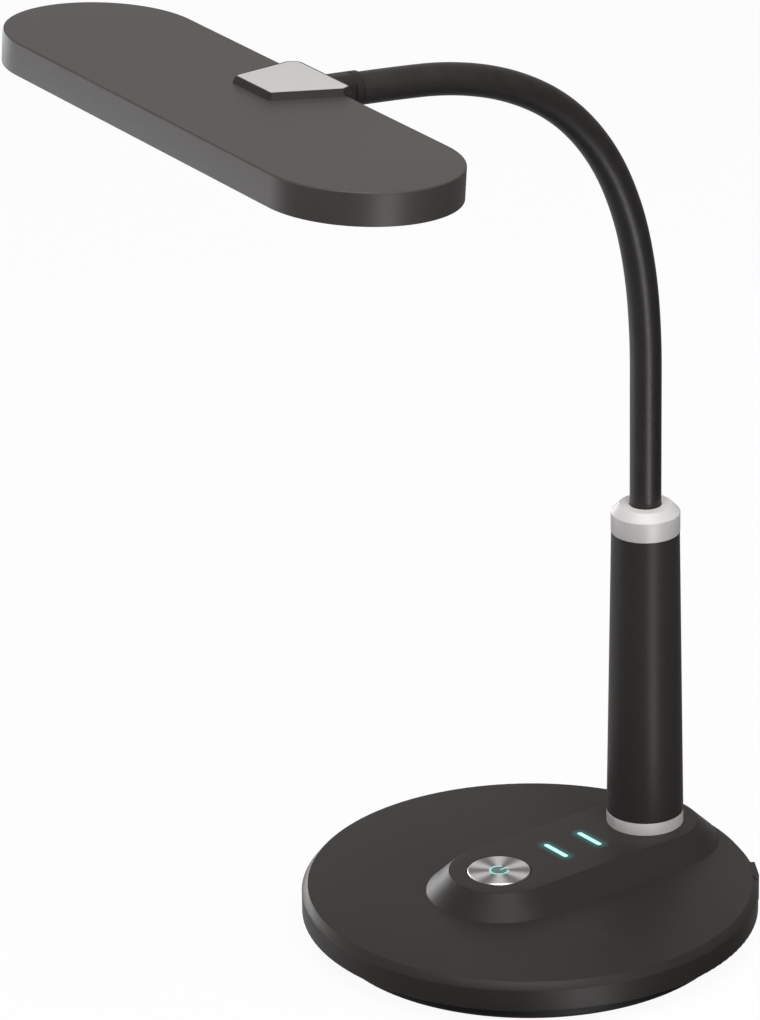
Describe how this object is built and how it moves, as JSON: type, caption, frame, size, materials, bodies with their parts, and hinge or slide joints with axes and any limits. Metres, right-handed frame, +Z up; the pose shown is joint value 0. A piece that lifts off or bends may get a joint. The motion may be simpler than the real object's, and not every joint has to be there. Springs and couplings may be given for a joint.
{
  "type": "gooseneck desk lamp",
  "caption": "Desk lamp with a long flat round-ended head on a flexible neck, a tapered column and a round weighted base with a push button.",
  "frame": {"origin": "centre of the base's foot pad, on the surface the lamp stands on", "axes": "+Z up; the button is towards -Y and the column towards +Y; +X runs to the right of someone who faces the button, along the head"},
  "size_m": [0.2771, 0.2897, 0.4166],
  "materials": {
    "back_plastic": "moulded",
    "black_plastic": "satin black ABS",
    "button_metal": "radially brushed",
    "circuit_board": "green solder mask",
    "diffuser_white": "opal",
    "ferrule_brass": "turned",
    "fixing_steel": "zinc plated",
    "foot_rubber": "matt",
    "guide_acrylic": "clear acrylic",
    "hose_steel": "bare steel",
    "housing_plastic": "fine matte dark grey ABS",
    "icon_light": "lit symbol",
    "insert_metal": "fine brushed silver",
    "led_chip": "moulded",
    "led_strip_board": "white board",
    "pin_brass": "nickel plated",
    "plunger_plastic": "moulded",
    "reflector_white": "white film",
    "silver_plastic": "silver grey satin",
    "sleeve_rubber": "satin silicone rubber",
    "slot_light": "lit acrylic",
    "socket_plastic": "moulded",
    "switch_plastic": "moulded",
    "weight_iron": "as cast"
  },
  "bodies": {
    "base": {"base_shell": "housing_plastic", "base_bottom_cover": "black_plastic", "base_foot_pad": "foot_rubber", "base_screws": "fixing_steel", "counterweight": "weight_iron", "counterweight_screws": "fixing_steel", "control_board": "circuit_board", "board_screws": "fixing_steel", "switch_housing": "switch_plastic", "indicator_lenses": "slot_light", "indicator_leds": "led_chip", "inlet_socket": "socket_plastic", "inlet_pin": "pin_brass", "column_base_ring": "silver_plastic", "column_tube": "black_plastic", "column_cap": "silver_plastic", "column_tie_rod": "fixing_steel", "column_washer": "fixing_steel", "column_nut": "fixing_steel", "neck_lower_ferrule": "ferrule_brass", "neck_hose_00": "hose_steel"},
    "button": {"power_button": "button_metal", "button_icon": "icon_light", "switch_plunger": "plunger_plastic"},
    "neck_link_01": {"neck_sleeve_01": "sleeve_rubber", "neck_hose_01": "hose_steel"},
    "neck_link_02": {"neck_sleeve_02": "sleeve_rubber", "neck_hose_02": "hose_steel"},
    "neck_link_03": {"neck_sleeve_03": "sleeve_rubber", "neck_hose_03": "hose_steel"},
    "neck_link_04": {"neck_sleeve_04": "sleeve_rubber", "neck_hose_04": "hose_steel"},
    "neck_link_05": {"neck_sleeve_05": "sleeve_rubber", "neck_hose_05": "hose_steel"},
    "neck_link_06": {"neck_sleeve_06": "sleeve_rubber", "neck_hose_06": "hose_steel"},
    "neck_link_07": {"neck_sleeve_07": "sleeve_rubber", "neck_hose_07": "hose_steel"},
    "neck_link_08": {"neck_sleeve_08": "sleeve_rubber", "neck_hose_08": "hose_steel"},
    "neck_link_09": {"neck_sleeve_09": "sleeve_rubber", "neck_hose_09": "hose_steel"},
    "head": {"neck_sleeve_10": "sleeve_rubber", "neck_hose_10": "hose_steel", "neck_upper_ferrule": "ferrule_brass", "ferrule_set_screw": "fixing_steel", "neck_collar": "black_plastic", "head_bracket": "black_plastic", "bracket_plate": "insert_metal", "bracket_screws": "fixing_steel", "head_housing": "housing_plastic", "back_plate": "back_plastic", "head_screws": "fixing_steel", "reflector_sheet": "reflector_white", "light_guide": "guide_acrylic", "diffuser": "diffuser_white", "led_strip_front": "led_strip_board", "led_strip_rear": "led_strip_board"}
  },
  "joints": [
    {"name": "button_press", "type": "slide", "parent": "base", "child": "button", "axis": [0, 0, -1], "range_m": [0, 0.0008], "stiffness_N_per_m": 1500, "springref_m": -0.0012},
    {"name": "neck_bend_01", "type": "hinge", "parent": "base", "child": "neck_link_01", "pos_m": [0, 0.065, 0.19945], "axis": [0.9981, -0.061, 0], "range_deg": [-6, 8], "deforming": ["neck_sleeve_01"]},
    {"name": "neck_bend_02", "type": "hinge", "parent": "neck_link_01", "child": "neck_link_02", "pos_m": [0, 0.065, 0.23035], "axis": [0.9981, -0.061, 0], "range_deg": [-6, 8], "deforming": ["neck_sleeve_02"]},
    {"name": "neck_bend_03", "type": "hinge", "parent": "neck_link_02", "child": "neck_link_03", "pos_m": [-0.00002, 0.06466, 0.26125], "axis": [0.061, 0.9972, 0.0436], "range_deg": [-12, 12], "deforming": ["neck_sleeve_03"]},
    {"name": "neck_bend_04", "type": "hinge", "parent": "neck_link_03", "child": "neck_link_04", "pos_m": [-0.0002, 0.06178, 0.29199], "axis": [0.9981, -0.061, 0], "range_deg": [-6, 8], "deforming": ["neck_sleeve_04"]},
    {"name": "neck_bend_05", "type": "hinge", "parent": "neck_link_04", "child": "neck_link_05", "pos_m": [-0.00064, 0.05459, 0.322], "axis": [0.9981, -0.061, 0], "range_deg": [-6, 8], "deforming": ["neck_sleeve_05"]},
    {"name": "neck_bend_06", "type": "hinge", "parent": "neck_link_05", "child": "neck_link_06", "pos_m": [-0.00145, 0.04134, 0.34982], "axis": [0.0512, 0.8371, 0.5446], "range_deg": [-12, 12], "deforming": ["neck_sleeve_06"]},
    {"name": "neck_bend_07", "type": "hinge", "parent": "neck_link_06", "child": "neck_link_07", "pos_m": [-0.00269, 0.02108, 0.37297], "axis": [0.9981, -0.061, 0], "range_deg": [-16, 9], "deforming": ["neck_sleeve_07"]},
    {"name": "neck_bend_08", "type": "hinge", "parent": "neck_link_07", "child": "neck_link_08", "pos_m": [-0.00429, -0.00513, 0.38906], "axis": [0.9981, -0.061, 0], "range_deg": [-16, 9], "deforming": ["neck_sleeve_08"]},
    {"name": "neck_bend_09", "type": "hinge", "parent": "neck_link_08", "child": "neck_link_09", "pos_m": [-0.00609, -0.03451, 0.39827], "axis": [0.0122, 0.199, 0.9799], "range_deg": [-12, 12], "deforming": ["neck_sleeve_09"]},
    {"name": "neck_bend_10", "type": "hinge", "parent": "neck_link_09", "child": "head", "pos_m": [-0.00796, -0.06509, 0.40212], "axis": [0.9981, -0.061, 0], "range_deg": [-16, 9], "deforming": ["neck_sleeve_10"]}
  ],
  "couplings": [
    {"joint": "neck_bend_02", "follows": "neck_bend_01", "ratio": 1},
    {"joint": "neck_bend_04", "follows": "neck_bend_01", "ratio": 1},
    {"joint": "neck_bend_05", "follows": "neck_bend_01", "ratio": 1},
    {"joint": "neck_bend_08", "follows": "neck_bend_07", "ratio": 1},
    {"joint": "neck_bend_10", "follows": "neck_bend_07", "ratio": 1},
    {"joint": "neck_bend_06", "follows": "neck_bend_03", "ratio": 1},
    {"joint": "neck_bend_09", "follows": "neck_bend_03", "ratio": 1}
  ]
}
